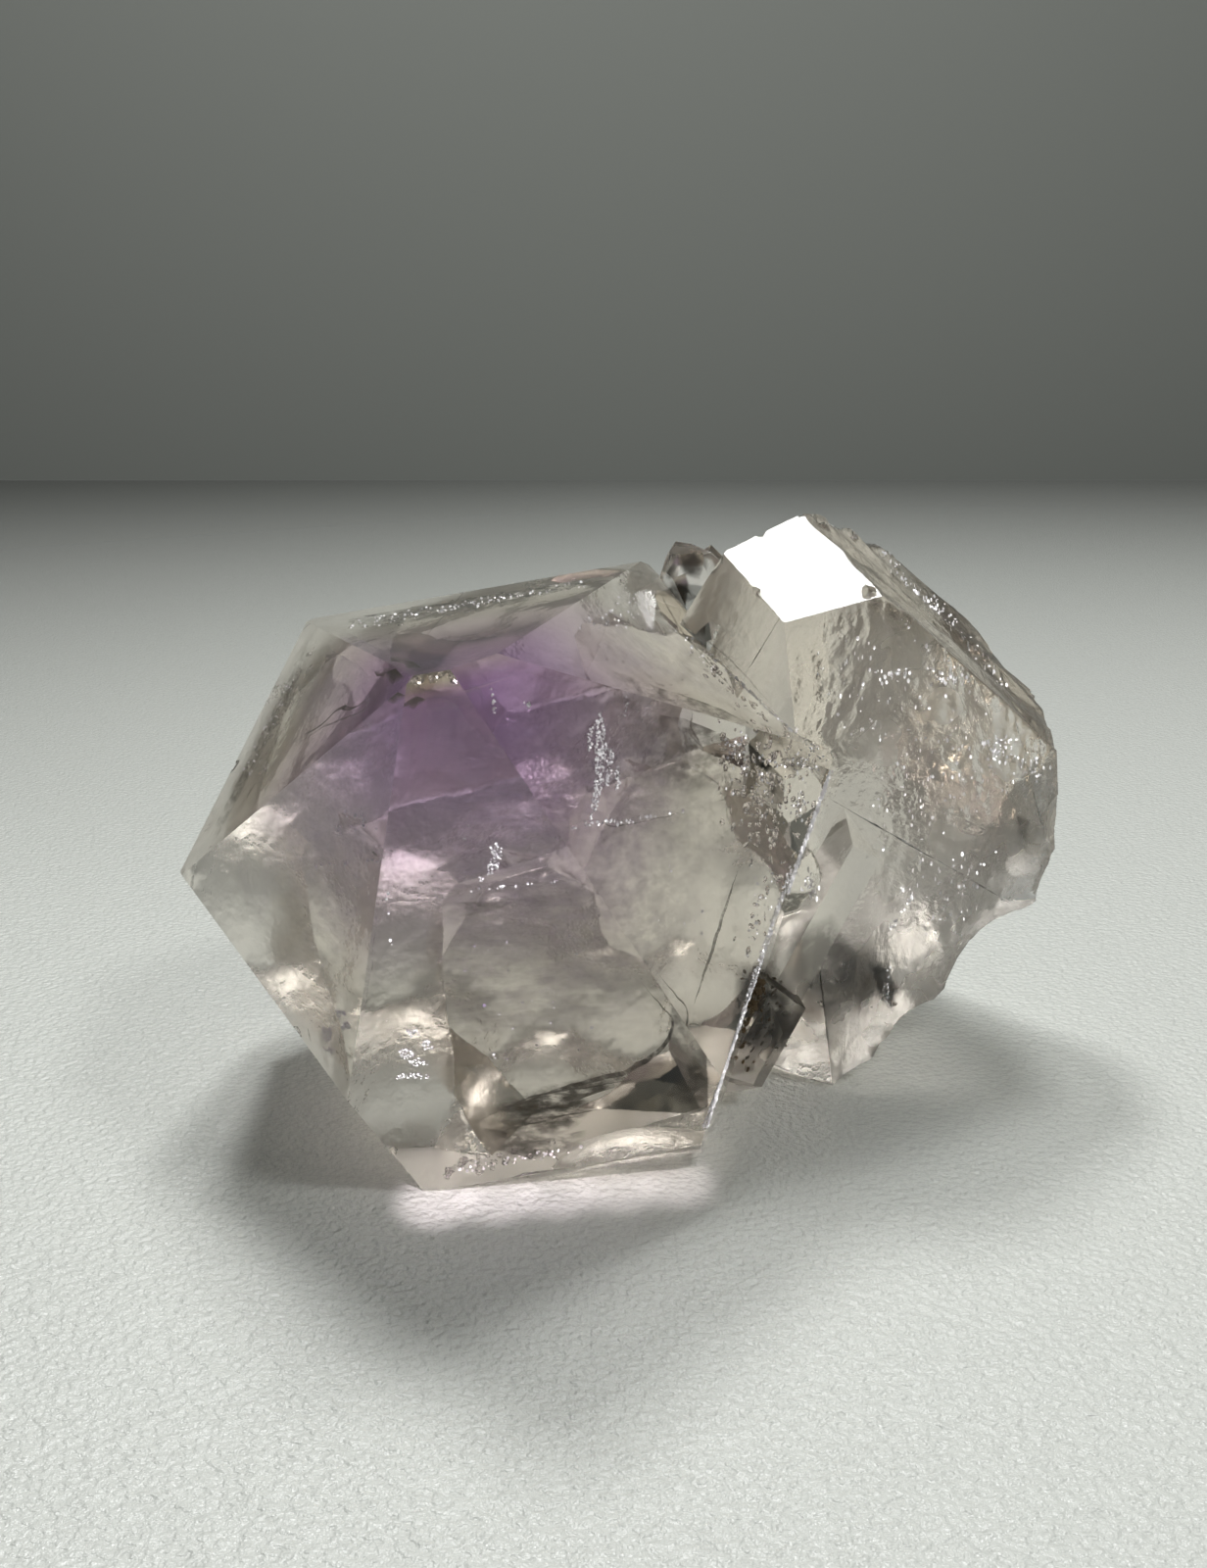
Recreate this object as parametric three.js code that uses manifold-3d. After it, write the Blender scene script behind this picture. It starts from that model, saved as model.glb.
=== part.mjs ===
// Amethyst crystal: a purple quartz point and a clear grey one that grew into each other,
// broken off their rock. Millimetres, +Z up. The broken base rests on z = 0 and the big
// point looks towards -Y and upwards.
import * as THREE from 'three';
import { mergeVertices } from 'three/addons/utils/BufferGeometryUtils.js';
import Module from 'manifold-3d';

const wasm = await Module();
wasm.setup();

// Quartz is six-sided, and each tip face leans away from the long axis by the same angle
const SIDES = 6;
const SIDE_TURN = 360 / SIDES;
const TIP_FACE_POLAR = 51.8;

// Well outside the stone on every side
const FAR = 60;

// Corners closer than this are one
const SMALLEST = 1e-5;

// On broken surfaces, how far a facet's corner strays from its grid, as a part of the cell,
// and the least and the further spread of a hollow's radius, as parts of the usual one
const LOOSENESS = 0.6;
const LEAST_CURVE = 0.7;
const MORE_CURVE = 0.8;

// How much lower every second tip face of a small crystal starts, as a part of its radius
const UNEVEN_TIP = 0.35;

// How finely a shell-shaped bite is rounded, and how the nicks are turned from one another
const BITE_DETAIL = 5;
const NICK_TURNS = [1, 2];

// The big point. rise is the tip's angle above the table, heading its direction on the
// table from +X, and spin turns the first prism face. Each face has the distance of its
// prism face from the axis (out) and the place of its shoulder along the axis (shoulder).
const BIG_POINT = {
  centre: [-6.8, -3.8, 16.7],
  rise: 37,
  heading: -95,
  spin: -18,
  root: 26,
  faces: [
    { out: 14.4, shoulder: -1.0 },
    { out: 16.2, shoulder: -0.7 },
    { out: 15.3, shoulder: -0.2 },
    { out: 15.8, shoulder: 0.5 },
    { out: 14.7, shoulder: 1.0 },
    { out: 16.7, shoulder: -4.3 },
  ],
};

// The grey crystal behind it, nearly upright. A tip face that the crystal lacks has its
// shoulder above the others. backFace is the odd facet behind the mirror-like top face.
const GREY_CRYSTAL = {
  centre: [13.2, 12.3, 15.0],
  rise: 78.6,
  heading: -138,
  spin: -20,
  root: 26,
  faces: [
    { out: 11.0, shoulder: 15.6 },
    { out: 12.5, shoulder: 4.3 },
    { out: 8.2, shoulder: 9.5 },
    { out: 9.5, shoulder: 30 },
    { out: 11.0, shoulder: 11.1 },
    { out: 12.9, shoulder: 30 },
  ],
  backFace: { turn: 194, distance: 7.6 },
};

// The small crystal wedged between the two, cut off by one slanting tip face
const CORNER_CRYSTAL = {
  centre: [10.4, 0.9, 12.4],
  rise: 60,
  heading: 17,
  spin: 26,
  root: 12,
  faces: [
    { out: 3.0, shoulder: 4.0 },
    { out: 3.0, shoulder: 5.5 },
    { out: 2.7, shoulder: 4.6 },
    { out: 1.8, shoulder: 2.9 },
    { out: 1.9, shoulder: 4.2 },
    { out: 2.4, shoulder: 3.8 },
  ],
};

// The stub that joins the two at the back, broken off behind
const ROOT_CRYSTAL = {
  centre: [-3.2, 9.4, 8.6],
  rise: 24,
  heading: 108,
  spin: 12,
  root: 14,
  faces: [
    { out: 8.4, shoulder: 6.0 },
    { out: 7.6, shoulder: 4.6 },
    { out: 8.2, shoulder: 3.4 },
    { out: 7.8, shoulder: 5.2 },
    { out: 9.0, shoulder: 9.0 },
    { out: 8.8, shoulder: 9.0 },
  ],
};

// Still smaller crystals along the join and behind it
const SMALL_CRYSTALS = [
  { tip: [9.2, -2.6, 15.6], rise: 48, heading: -52, spin: 5, radius: 1.5, length: 7 },
  { tip: [2.1, 6.2, 31.2], rise: 62, heading: 150, spin: 25, radius: 1.6, length: 8 },
  { tip: [4.2, 7.4, 30.9], rise: 74, heading: 60, spin: 50, radius: 1.8, length: 9 },
  { tip: [-2.4, 13.2, 22.6], rise: 46, heading: 96, spin: 10, radius: 3.0, length: 13 },
  { tip: [-9.6, 12.4, 17.8], rise: 34, heading: 132, spin: 34, radius: 2.4, length: 11 },
  { tip: [1.4, 20.0, 15.4], rise: 38, heading: 128, spin: 4, radius: 2.6, length: 10 },
];

// Broken surfaces. Each is a block that bites into the stone: at is a point on the
// surface, facing looks out of the stone, span is the block's size, cell the size of its
// flat facets, scoop the spacing of its shell-shaped hollows, depth how far they vary,
// curve their radius and stretch how much longer than wide they are, along grain.
const BIG_BACK = {
  at: [-6.0, 5.4, 9.8],
  facing: [0.23, 0.78, -0.585],
  span: 46,
  cell: 1.15,
  scoop: 7.5,
  depth: 2.6,
  curve: 7,
  stretch: 1,
  grain: [1, 0, 0],
  seed: 11,
};
const ROOT_BREAK = {
  at: [-5.2, 16.4, 7.4],
  facing: [-0.3, 0.84, -0.45],
  span: 34,
  cell: 1.1,
  scoop: 4.2,
  depth: 1.7,
  curve: 4.5,
  stretch: 1,
  grain: [1, 0, 0],
  seed: 17,
};
const GREY_UNDERSIDE = {
  at: [18.3, 3.2, 6.2],
  facing: [0.565, 0.286, -0.769],
  span: 44,
  cell: 1.05,
  scoop: 4.6,
  depth: 1.9,
  curve: 4.5,
  stretch: 1,
  grain: [0, 1, 0],
  seed: 5,
};
const GREY_RIM = {
  at: [24.8, 5.2, 12.2],
  facing: [0.93, 0.3, -0.2],
  span: 34,
  cell: 1.0,
  scoop: 3.4,
  depth: 1.5,
  curve: 3.2,
  stretch: 1,
  grain: [0, 1, 0],
  seed: 23,
};
const GREY_STREAKS = {
  at: [19.62, 7.98, 24.72],
  facing: [0.679, -0.199, 0.706],
  span: 34,
  cell: 0.95,
  scoop: 1.5,
  depth: 0.5,
  curve: 1.6,
  stretch: 7,
  grain: [0.665, 0.314, -0.552],
  seed: 31,
};
const REST_BREAK = {
  at: [0, 0, -0.35],
  facing: [0, 0, -1],
  span: 70,
  cell: 1.2,
  scoop: 5.5,
  depth: 0.9,
  curve: 7,
  stretch: 1,
  grain: [1, 0, 0],
  seed: 3,
};

// Shell-shaped bites: centre, radii along X, Y and Z
const BITES = [
  { centre: [0.6, -5.4, -0.6], radii: [5.6, 3.4, 3.0] },
  { centre: [21.2, 1.6, 9.6], radii: [4.6, 1.5, 5.4] },
  { centre: [17.2, 0.6, 4.6], radii: [3.4, 1.2, 3.2] },
  { centre: [25.2, 3.7, 14.9], radii: [1.5, 2.4, 2.3] },
];

// Small nicks in the sharp edges: place and size
const NICKS = [
  { at: [-17.3, -10.2, 8.5], size: 0.5 },
  { at: [-12.7, -11.6, 2.7], size: 0.4 },
  { at: [-22.1, -0.8, 19.9], size: 0.4 },
  { at: [-10.0, 5.7, 28.7], size: 0.45 },
  { at: [-3.4, 6.1, 29.6], size: 0.4 },
  { at: [5.9, -2.3, 29.5], size: 0.35 },
  { at: [6.2, -0.3, 32.3], size: 0.45 },
  { at: [8.4, 0.9, 33.2], size: 0.4 },
  { at: [12.0, -1.1, 29.4], size: 0.7 },
];

const radians = (degrees) => THREE.MathUtils.degToRad(degrees);

// Repeatable random numbers from 0 to 1
function randomSource(seed) {
  const multiplier = 48271;
  const modulus = 2147483647;
  let state = seed;
  return () => {
    state = (state * multiplier) % modulus;
    return state / modulus;
  };
}

// A geometry of positions alone, with each corner shared
function withoutShading(geometry) {
  const bare = geometry.clone();
  bare.deleteAttribute('normal');
  bare.deleteAttribute('uv');
  return mergeVertices(bare, SMALLEST);
}

// A three.js geometry as a solid that can be joined and cut
function solidOf(geometry) {
  const bare = withoutShading(geometry);
  return new wasm.Manifold(new wasm.Mesh({
    numProp: 3,
    vertProperties: new Float32Array(bare.attributes.position.array),
    triVerts: new Uint32Array(bare.index.array),
  }));
}

// The finished solid as a three.js geometry
function geometryOf(solid) {
  const mesh = solid.getMesh();
  const geometry = new THREE.BufferGeometry();
  geometry.setAttribute('position', new THREE.BufferAttribute(new Float32Array(mesh.vertProperties), 3));
  geometry.setIndex(new THREE.BufferAttribute(new Uint32Array(mesh.triVerts), 1));
  geometry.computeVertexNormals();
  return geometry;
}

// Everything on the outer side of a plane, as a big block
function outside(point, normal) {
  const block = new THREE.BoxGeometry(4 * FAR, 4 * FAR, 2 * FAR);
  block.translate(0, 0, FAR);
  const up = new THREE.Vector3(0, 0, 1);
  block.applyQuaternion(new THREE.Quaternion().setFromUnitVectors(up, normal.clone().normalize()));
  block.translate(point.x, point.y, point.z);
  return solidOf(block);
}

// A crystal's own directions: along its axis, and sideways at any turn about it
function crystalFrame({ rise, heading, spin }) {
  const axis = new THREE.Vector3(
    Math.cos(radians(rise)) * Math.cos(radians(heading)),
    Math.cos(radians(rise)) * Math.sin(radians(heading)),
    Math.sin(radians(rise)),
  );
  const side = new THREE.Vector3(0, 0, 1).cross(axis).normalize();
  const up = new THREE.Vector3().crossVectors(axis, side);
  const sideways = (turn) => new THREE.Vector3()
    .addScaledVector(side, Math.cos(radians(spin + turn)))
    .addScaledVector(up, Math.sin(radians(spin + turn)));
  return { axis, sideways };
}

// The outward direction of a tip face above the prism face that looks sideways
function tipNormal(axis, sideways) {
  return new THREE.Vector3()
    .addScaledVector(sideways, Math.sin(radians(TIP_FACE_POLAR)))
    .addScaledVector(axis, Math.cos(radians(TIP_FACE_POLAR)));
}

// A quartz crystal: a block cut back to its prism faces and to its tip faces
function quartzCrystal(crystal) {
  const centre = new THREE.Vector3(...crystal.centre);
  const { axis, sideways } = crystalFrame(crystal);
  const start = new THREE.BoxGeometry(2 * FAR, 2 * FAR, 2 * FAR);
  start.translate(centre.x, centre.y, centre.z);
  let body = solidOf(start);
  crystal.faces.forEach(({ out, shoulder }, i) => {
    const prismNormal = sideways(i * SIDE_TURN);
    const onPrism = centre.clone().addScaledVector(prismNormal, out);
    body = body.subtract(outside(onPrism, prismNormal));
    const onShoulder = onPrism.clone().addScaledVector(axis, shoulder);
    body = body.subtract(outside(onShoulder, tipNormal(axis, prismNormal)));
  });
  if (crystal.backFace) {
    const normal = tipNormal(axis, sideways(crystal.backFace.turn));
    const onFace = centre.clone().addScaledVector(normal, crystal.backFace.distance);
    body = body.subtract(outside(onFace, normal));
  }
  const foot = centre.clone().addScaledVector(axis, -crystal.root);
  return body.subtract(outside(foot, axis.clone().negate()));
}

// A small crystal, given by its tip; alternate tip faces are larger, as quartz has them
function smallCrystal({ tip, rise, heading, spin, radius, length }) {
  const { axis } = crystalFrame({ rise, heading, spin });
  const tipHeight = radius * Math.tan(radians(TIP_FACE_POLAR));
  const centre = new THREE.Vector3(...tip).addScaledVector(axis, -tipHeight);
  const faces = [];
  for (let i = 0; i < SIDES; i += 1) {
    faces.push({ out: radius, shoulder: i % 2 === 0 ? 0 : radius * UNEVEN_TIP });
  }
  return quartzCrystal({ centre: centre.toArray(), rise, heading, spin, root: length - tipHeight, faces });
}

// Height of a broken surface: shell-shaped hollows that meet in sharp ridges
function scoopField({ span, scoop, depth, curve, stretch, seed }) {
  const random = randomSource(seed);
  const reach = span / 2 + scoop;
  const hollows = [];
  for (let x = -reach; x < reach; x += scoop * stretch) {
    for (let y = -reach; y < reach; y += scoop) {
      hollows.push({
        x: x + random() * scoop * stretch,
        y: y + random() * scoop,
        top: (random() - 0.5) * depth,
        curve: curve * (LEAST_CURVE + MORE_CURVE * random()),
      });
    }
  }
  const floor = -2 * depth;
  return (x, y) => hollows.reduce((highest, hollow) => {
    const dx = (x - hollow.x) / stretch;
    const dy = y - hollow.y;
    return Math.max(highest, hollow.top - (dx * dx + dy * dy) / (2 * hollow.curve));
  }, floor);
}

// The block of a broken surface, with its rough side at the stone
function brokenBlock(surface) {
  const { at, facing, grain, span, cell, stretch, seed } = surface;
  const height = scoopField(surface);
  const random = randomSource(2 * seed);
  const along = Math.round(span / (cell * Math.sqrt(stretch)));
  const across = Math.round((span / cell) * Math.pow(stretch, 0.25));
  const block = withoutShading(new THREE.BoxGeometry(span, span, span, along, across, 1));
  const position = block.attributes.position;
  const edge = span / 2 - SMALLEST;
  for (let i = 0; i < position.count; i += 1) {
    const loose = Math.abs(position.getX(i)) < edge && Math.abs(position.getY(i)) < edge ? LOOSENESS : 0;
    const x = position.getX(i) + ((random() - 0.5) * loose * span) / along;
    const y = position.getY(i) + ((random() - 0.5) * loose * span) / across;
    if (position.getZ(i) > 0) {
      position.setXYZ(i, x, y, height(x, y));
    } else {
      position.setZ(i, -span);
    }
  }
  const into = new THREE.Vector3(...facing).normalize().negate();
  const crossGrain = new THREE.Vector3().crossVectors(into, new THREE.Vector3(...grain)).normalize();
  const withGrain = new THREE.Vector3().crossVectors(crossGrain, into);
  block.applyMatrix4(new THREE.Matrix4().makeBasis(withGrain, crossGrain, into));
  block.translate(...at);
  return solidOf(block);
}

// A smooth shell-shaped bite
function bite({ centre, radii }) {
  const ball = new THREE.IcosahedronGeometry(1, BITE_DETAIL);
  ball.scale(...radii);
  ball.translate(...centre);
  return solidOf(ball);
}

// A little sharp nick
function nick({ at, size }, index) {
  const chip = new THREE.OctahedronGeometry(size, 0);
  chip.rotateX((index + 1) * NICK_TURNS[0]);
  chip.rotateY((index + 1) * NICK_TURNS[1]);
  chip.translate(...at);
  return solidOf(chip);
}

function bigPoint() {
  return quartzCrystal(BIG_POINT).subtract(brokenBlock(BIG_BACK));
}

function greyCrystal() {
  return quartzCrystal(GREY_CRYSTAL)
    .subtract(brokenBlock(GREY_UNDERSIDE))
    .subtract(brokenBlock(GREY_RIM))
    .subtract(brokenBlock(GREY_STREAKS));
}

function rootCrystal() {
  return quartzCrystal(ROOT_CRYSTAL).subtract(brokenBlock(ROOT_BREAK));
}

// The biggest shell alone, so that small gaps the crystals grew over are solid quartz
function withoutGaps(body) {
  return body.decompose().reduce((biggest, shell) => (shell.volume() > biggest.volume() ? shell : biggest));
}

// The whole specimen: crystals joined, chipped, and broken off level with the table
function specimen() {
  let body = bigPoint().add(greyCrystal()).add(rootCrystal()).add(quartzCrystal(CORNER_CRYSTAL));
  SMALL_CRYSTALS.forEach((crystal) => {
    body = body.add(smallCrystal(crystal));
  });
  BITES.forEach((shape) => {
    body = body.subtract(bite(shape));
  });
  NICKS.forEach((shape, index) => {
    body = body.subtract(nick(shape, index));
  });
  body = body.subtract(brokenBlock(REST_BREAK));
  return withoutGaps(body.subtract(outside(new THREE.Vector3(0, 0, 0), new THREE.Vector3(0, 0, -1))));
}

// The stone with its middle over the origin
function centred(geometry) {
  geometry.computeBoundingBox();
  const middle = geometry.boundingBox.getCenter(new THREE.Vector3());
  return geometry.translate(-middle.x, -middle.y, 0);
}

const amethyst = new THREE.Mesh(
  centred(geometryOf(specimen())),
  new THREE.MeshStandardMaterial({ color: 0x8f8592, roughness: 0.05, metalness: 0, flatShading: true }),
);
amethyst.name = 'crystal';

const object = new THREE.Group();
object.add(amethyst);

export default object;
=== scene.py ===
"""Amethyst specimen: a purple quartz point grown together with a clear grey one.

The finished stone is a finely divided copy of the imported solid, with shell-like relief on its
broken surfaces. Purple growth zones, veils, cracks, flakes and smoky streaks lie inside it.
"""
import math

import bmesh
import bpy
import numpy as np
from bpy.props import FloatProperty, FloatVectorProperty, IntProperty, PointerProperty
from bpy.types import Operator, Panel, PropertyGroup
from mathutils import Matrix, Vector
from mathutils.bvhtree import BVHTree


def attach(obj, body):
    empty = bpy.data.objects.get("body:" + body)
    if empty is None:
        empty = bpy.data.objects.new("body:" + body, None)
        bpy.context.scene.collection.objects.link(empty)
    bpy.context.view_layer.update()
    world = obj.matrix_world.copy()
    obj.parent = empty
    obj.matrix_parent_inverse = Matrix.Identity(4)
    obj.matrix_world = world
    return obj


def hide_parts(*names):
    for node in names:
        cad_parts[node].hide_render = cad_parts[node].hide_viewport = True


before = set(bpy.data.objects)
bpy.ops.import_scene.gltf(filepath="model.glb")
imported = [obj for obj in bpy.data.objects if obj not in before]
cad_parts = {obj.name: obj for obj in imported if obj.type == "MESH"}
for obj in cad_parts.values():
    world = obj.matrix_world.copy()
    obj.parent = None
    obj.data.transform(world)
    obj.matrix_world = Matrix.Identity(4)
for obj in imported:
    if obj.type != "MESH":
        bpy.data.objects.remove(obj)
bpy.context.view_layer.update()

bl_info = {
    "name": "Amethyst Specimen",
    "version": (1, 0, 0),
    "blender": (4, 5, 0),
    "location": "View3D > Sidebar > Amethyst",
    "description": "A purple quartz point grown together with a clear grey one",
    "category": "Object",
}

MM = 0.001
NODE = "crystal"
BODY = "root"

# What is stored on the stone's faces: broken surfaces, the etched face, the underside and the hidden back
MARKS = ("broken", "cloudy", "resting", "hidden")
# The dimples of the etched face are drawn out upwards
DIMPLE_STRETCH = (1.0, 1.0, 0.45)

# The camera: its place, how far it looks down, and the photo's frame and focal length in pixels
CAMERA_PLACE = Vector((-2.37, -80.92, 39.5)) * MM
CAMERA_PITCH = math.radians(15)
PHOTO_SIZE = (1232, 1600)
FOCAL_PIXELS = 1500
SENSOR = 36


# Small helpers

def linear(code):
    """Turns an sRGB hex colour into linear red, green, blue and alpha."""
    parts = [int(code[i:i + 2], 16) / 255 for i in (1, 3, 5)]
    return tuple(c / 12.92 if c <= 0.04045 else ((c + 0.055) / 1.055) ** 2.4 for c in parts) + (1.0,)


def opaque(colour):
    """A colour of three parts with full alpha."""
    return tuple(colour) + (1.0,)


def add_node(tree, kind, inputs=None, **settings):
    """Adds a node with its settings and inputs; an input is a value, an output to link, or a node."""
    node = tree.nodes.new(kind)
    for name, value in settings.items():
        setattr(node, name, value)
    for name, value in (inputs or {}).items():
        if isinstance(value, bpy.types.Node):
            value = value.outputs[0]
        if isinstance(value, bpy.types.NodeSocket):
            tree.links.new(value, node.inputs[name])
        else:
            node.inputs[name].default_value = value
    return node


def new_material(name):
    """An empty node material and its tree."""
    material = bpy.data.materials.new(name)
    material.use_nodes = True
    material.node_tree.nodes.clear()
    return material, material.node_tree


def plain_material(name, values):
    """A material that is the same all over; values go on the shader's own inputs."""
    material, tree = new_material(name)
    shader = add_node(tree, "ShaderNodeBsdfPrincipled", values)
    add_node(tree, "ShaderNodeOutputMaterial", {"Surface": shader})
    return material


def link_object(name, data):
    """An object in the scene that shows the data."""
    made = bpy.data.objects.new(name, data)
    bpy.context.scene.collection.objects.link(made)
    return made


def mesh_object(name, vertices, faces=(), edges=(), strengths=None):
    """A mesh object with its place in its mesh, and a strength stored on each point."""
    mesh = bpy.data.meshes.new(name)
    mesh.from_pydata([tuple(v) for v in vertices], edges, faces)
    mesh.update()
    if strengths:
        mesh.attributes.new("strength", "FLOAT", "POINT").data.foreach_set("value", strengths)
    return link_object(name, mesh)


def bmesh_object(name, shape):
    """A bmesh as an object; the bmesh is freed."""
    mesh = bpy.data.meshes.new(name)
    shape.to_mesh(mesh)
    shape.free()
    return link_object(name, mesh)


def finish_piece(piece):
    """Binds a finished piece to the stone."""
    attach(piece, BODY)


def node_piece(made, tree, values, name):
    """Puts a node group on an object, sets its inputs and keeps the result as a plain piece."""
    modifier = made.modifiers.new(tree.name, "NODES")
    modifier.node_group = tree
    sockets = {s.name: s.identifier for s in tree.interface.items_tree if s.in_out == "INPUT"}
    for label, value in values.items():
        modifier[sockets[label]] = value
    graph = bpy.context.evaluated_depsgraph_get()
    mesh = bpy.data.meshes.new_from_object(made.evaluated_get(graph))
    if not mesh.materials:
        raise RuntimeError(f"{name} came out without a material")
    piece = link_object(name, mesh)
    bpy.data.objects.remove(made)
    mesh.name = name
    finish_piece(piece)
    return piece


def node_group(name, inputs):
    """An empty geometry node group and its inputs, which hold (name, kind, default)."""
    tree = bpy.data.node_groups.new(name, "GeometryNodeTree")
    tree.interface.new_socket("Geometry", in_out="INPUT", socket_type="NodeSocketGeometry")
    for label, kind, default in (*inputs, ("Finish", "Material", None)):
        socket = tree.interface.new_socket(label, in_out="INPUT", socket_type="NodeSocket" + kind)
        if default is not None:
            socket.default_value = default
    tree.interface.new_socket("Geometry", in_out="OUTPUT", socket_type="NodeSocketGeometry")
    return tree, tree.nodes.new("NodeGroupInput").outputs


def end_group(tree, start, geometry):
    """Ends a node group: instances are made real and get the material."""
    real = add_node(tree, "GeometryNodeRealizeInstances", {"Geometry": geometry})
    finish = add_node(tree, "GeometryNodeSetMaterial", {"Geometry": real, "Material": start["Finish"]})
    add_node(tree, "NodeGroupOutput", {0: finish})
    return tree


# The stone's own surface

def merged_stone():
    """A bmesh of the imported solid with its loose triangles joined."""
    stone = bmesh.new()
    stone.from_mesh(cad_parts[NODE].data)
    bmesh.ops.remove_doubles(stone, verts=stone.verts, dist=1e-3 * MM)
    stone.faces.ensure_lookup_table()
    stone.normal_update()
    return stone


def flat_regions(stone, most_turn=math.radians(0.4)):
    """Groups faces that lie in one plane; gives each face its group's area."""
    area = {}
    seen = set()
    for start in stone.faces:
        if start.index in seen:
            continue
        group, stack = [], [start]
        seen.add(start.index)
        while stack:
            face = stack.pop()
            group.append(face)
            for edge in face.edges:
                for other in edge.link_faces:
                    if other.index not in seen and edge.calc_face_angle(math.pi) < most_turn:
                        seen.add(other.index)
                        stack.append(other)
        total = sum(face.calc_area() for face in group)
        for face in group:
            area[face.index] = total
    return area


# A growth face is flat over more than this area; smaller faces belong to broken surfaces
FLAT_AREA = 3.0 * MM * MM
# The outward way of the etched, cloudy face, and how well a face's own way has to match it
CLOUDY_FACE = Vector((0.380, -0.923, -0.068))
CLOUDY_MATCH = 0.995
# The longest edge that the cloudy face keeps, so that its dimples have points to move
CLOUDY_EDGE = 2.0 * MM
CLOUDY_CUTS = 5
VIEW = Vector((0.0, -math.cos(CAMERA_PITCH), math.sin(CAMERA_PITCH)))


def marked_stone():
    """The merged stone as an object, with what each face is stored on the faces."""
    stone = merged_stone()
    area = flat_regions(stone)
    broken, cloudy, resting, hidden = [stone.faces.layers.float.new(mark) for mark in MARKS]
    for face in stone.faces:
        flat = area[face.index] > FLAT_AREA
        face[broken] = 0.0 if flat else 1.0
        face[cloudy] = 1.0 if flat and face.normal.dot(CLOUDY_FACE) > CLOUDY_MATCH else 0.0
        face[resting] = 1.0 if face.normal.z < -0.99 and face.calc_center_median().z < 0.01 * MM else 0.0
        face[hidden] = 1.0 if face.normal.dot(VIEW) < -0.1 else 0.0
    for cut in range(CLOUDY_CUTS):
        long_edges = [edge for edge in stone.edges if edge.calc_length() > CLOUDY_EDGE
                      and any(face[cloudy] for face in edge.link_faces)]
        if long_edges:
            bmesh.ops.subdivide_edges(stone, edges=long_edges, cuts=1, use_single_edge=True)
            bmesh.ops.triangulate(stone, faces=[face for face in stone.faces if len(face.verts) > 3],
                                  quad_method="SHORT_EDGE")
    return bmesh_object("stone_rough", stone)


def fracture_tree():
    """Divides the stone finely, rounds its broken surfaces and gives them fine relief."""
    tree, start = node_group("fracture_relief", [
        ("Level", "Int", 2), ("Rounding", "Int", 3),
        ("Ripple", "Float", 200.0), ("Ripple Depth", "Float", 0.0001),
        ("Grain", "Float", 900.0), ("Grain Depth", "Float", 0.0001),
        ("Dimples", "Float", 800.0), ("Dimples Depth", "Float", 0.0001),
    ])
    fine = add_node(tree, "GeometryNodeSubdivideMesh", {"Mesh": start["Geometry"], "Level": start["Level"]})
    masks = []
    for mark in ("broken", "cloudy"):
        stored = add_node(tree, "GeometryNodeInputNamedAttribute", {"Name": mark}, data_type="FLOAT")
        # Points on the rim share in a face that isn't marked, and stay where they are
        masks.append(add_node(tree, "FunctionNodeCompare", {"A": stored, "B": 0.999}, data_type="FLOAT",
                              operation="GREATER_THAN"))
    broken, cloudy = masks
    place = add_node(tree, "GeometryNodeInputPosition")
    blurred = add_node(tree, "GeometryNodeBlurAttribute", {"Value": place, "Iterations": start["Rounding"]},
                       data_type="FLOAT_VECTOR")
    last = add_node(tree, "GeometryNodeSetPosition",
                    {"Geometry": fine, "Selection": broken, "Position": blurred})
    normal = add_node(tree, "GeometryNodeInputNormal")
    for relief, detail, where, stretch in (("Ripple", 2.0, broken, (1, 1, 1)),
                                           ("Grain", 3.0, broken, (1, 1, 1)),
                                           ("Dimples", 3.0, cloudy, DIMPLE_STRETCH)):
        drawn = add_node(tree, "ShaderNodeVectorMath", {0: place, 1: stretch}, operation="MULTIPLY")
        noise = add_node(tree, "ShaderNodeTexNoise",
                         {"Detail": detail, "Scale": start[relief], "Vector": drawn})
        centred = add_node(tree, "ShaderNodeMath", {0: noise, 1: 0.5}, operation="SUBTRACT")
        height = add_node(tree, "ShaderNodeMath", {0: centred, 1: start[relief + " Depth"]},
                          operation="MULTIPLY")
        shift = add_node(tree, "ShaderNodeVectorMath", {0: normal, "Scale": height}, operation="SCALE")
        last = add_node(tree, "GeometryNodeSetPosition",
                        {"Geometry": last, "Selection": where, "Offset": shift})
    either = add_node(tree, "FunctionNodeBooleanMath", {0: broken, 1: cloudy}, operation="OR")
    smooth = add_node(tree, "GeometryNodeSetShadeSmooth", {"Geometry": last, "Shade Smooth": either})
    return end_group(tree, start, smooth)


# Rust-brown stains on the stone, partly painted shade near the crystals' junction and the grey crystal's
# foot: centre and reach in mm, and how strong
STAINS_AND_SHADE = (
    ((8.5, -3.0, 4.5), 7.0, 1.0),
    ((2.5, 3.0, 30.5), 4.5, 0.8),
    ((13.0, -2.0, 6.5), 5.0, 0.9),
    ((22.0, 1.5, 15.0), 3.0, 0.5),
)

# Patterns of the stone's surface, in noise cells per metre
STAIN_AND_SHADE_CELLS = 700.0
FROST_CELLS = 260.0
PIT_CELLS = 1400.0


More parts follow.
